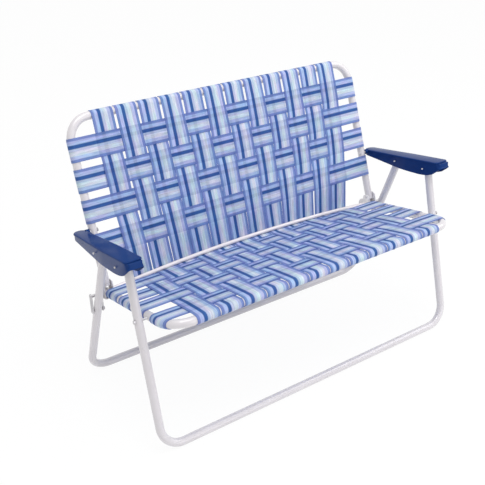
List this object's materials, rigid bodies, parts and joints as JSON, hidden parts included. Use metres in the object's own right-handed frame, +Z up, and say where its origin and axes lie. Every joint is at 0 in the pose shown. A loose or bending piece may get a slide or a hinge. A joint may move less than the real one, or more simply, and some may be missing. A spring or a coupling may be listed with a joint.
{
  "type": "folding camping loveseat",
  "caption": "Folding two-person lawn seat: white bent-tube frames, woven striped webbing on seat and back, and navy plastic arm rests.",
  "frame": {"origin": "on the floor, under the middle of the bounding box of the open seat", "axes": "+X along the seat's width, +Y to the rear, +Z up"},
  "size_m": [1.0622, 0.5092, 0.735],
  "materials": {
    "frame_paint": "satin white paint",
    "webbing": "striped woven plastic webbing",
    "arm_plastic": "moulded, soft sheen",
    "plug_plastic": "moulded",
    "hardware": "zinc plated"
  },
  "bodies": {
    "seat": {"seat_frame": "frame_paint", "seat_rear_bar": "frame_paint", "hinge_bracket_left": "hardware", "hinge_bracket_right": "hardware", "rail_bolt_left": "hardware", "rail_bolt_right": "hardware", "rail_plug_left": "plug_plastic", "rail_plug_right": "plug_plastic", "seat_cross_strap_1": "webbing", "seat_cross_strap_2": "webbing", "seat_cross_strap_3": "webbing", "seat_cross_strap_4": "webbing", "seat_long_strap_01": "webbing", "seat_long_strap_02": "webbing", "seat_long_strap_03": "webbing", "seat_long_strap_04": "webbing", "seat_long_strap_05": "webbing", "seat_long_strap_06": "webbing", "seat_long_strap_07": "webbing", "seat_long_strap_08": "webbing", "seat_long_strap_09": "webbing", "seat_long_strap_10": "webbing", "seat_long_strap_11": "webbing", "seat_long_strap_12": "webbing"},
    "back": {"back_frame": "frame_paint", "hinge_rivet_left": "hardware", "hinge_rivet_right": "hardware", "arm_rivet_left": "hardware", "arm_rivet_right": "hardware", "back_cross_strap_1": "webbing", "back_cross_strap_2": "webbing", "back_cross_strap_3": "webbing", "back_cross_strap_4": "webbing", "back_long_strap_01": "webbing", "back_long_strap_02": "webbing", "back_long_strap_03": "webbing", "back_long_strap_04": "webbing", "back_long_strap_05": "webbing", "back_long_strap_06": "webbing", "back_long_strap_07": "webbing", "back_long_strap_08": "webbing", "back_long_strap_09": "webbing", "back_long_strap_10": "webbing", "back_long_strap_11": "webbing", "back_long_strap_12": "webbing"},
    "front_legs": {"front_leg_frame": "frame_paint", "seat_rivet_left": "hardware", "seat_rivet_right": "hardware"},
    "arms": {"arm_left": "arm_plastic", "arm_right": "arm_plastic", "arm_front_rivet_left": "hardware", "arm_front_rivet_right": "hardware", "arm_rear_rivet_left": "hardware", "arm_rear_rivet_right": "hardware"},
    "rear_legs": {"rear_leg_frame": "frame_paint", "link_rivet_left": "hardware", "link_rivet_right": "hardware"},
    "links": {"link_left": "hardware", "link_right": "hardware"}
  },
  "joints": [
    {"name": "back_fold", "type": "hinge", "parent": "seat", "child": "back", "pos_m": [0, 0.09369, 0.3221], "axis": [1, 0, 0], "range_deg": [0, 75]},
    {"name": "front_leg_fold", "type": "hinge", "parent": "seat", "child": "front_legs", "pos_m": [0, -0.14581, 0.34411], "axis": [1, 0, 0], "range_deg": [0, 75]},
    {"name": "arm_fold", "type": "hinge", "parent": "back", "child": "arms", "pos_m": [0, 0.13912, 0.45566], "axis": [1, 0, 0], "range_deg": [-75, 0]},
    {"name": "rear_leg_fold", "type": "hinge", "parent": "arms", "child": "rear_legs", "pos_m": [0, 0.0121, 0.46462], "axis": [1, 0, 0], "range_deg": [0, 41.85]},
    {"name": "link_fold", "type": "hinge", "parent": "rear_legs", "child": "links", "pos_m": [0, 0.08771, 0.2536], "axis": [1, 0, 0], "range_deg": [-135.1, 0]}
  ],
  "couplings": [
    {"joint": "front_leg_fold", "follows": "back_fold", "ratio": 1},
    {"joint": "arm_fold", "follows": "back_fold", "ratio": -1},
    {"joint": "rear_leg_fold", "follows": "back_fold", "ratio": 0.55724},
    {"joint": "link_fold", "follows": "back_fold", "ratio": -1.8}
  ]
}
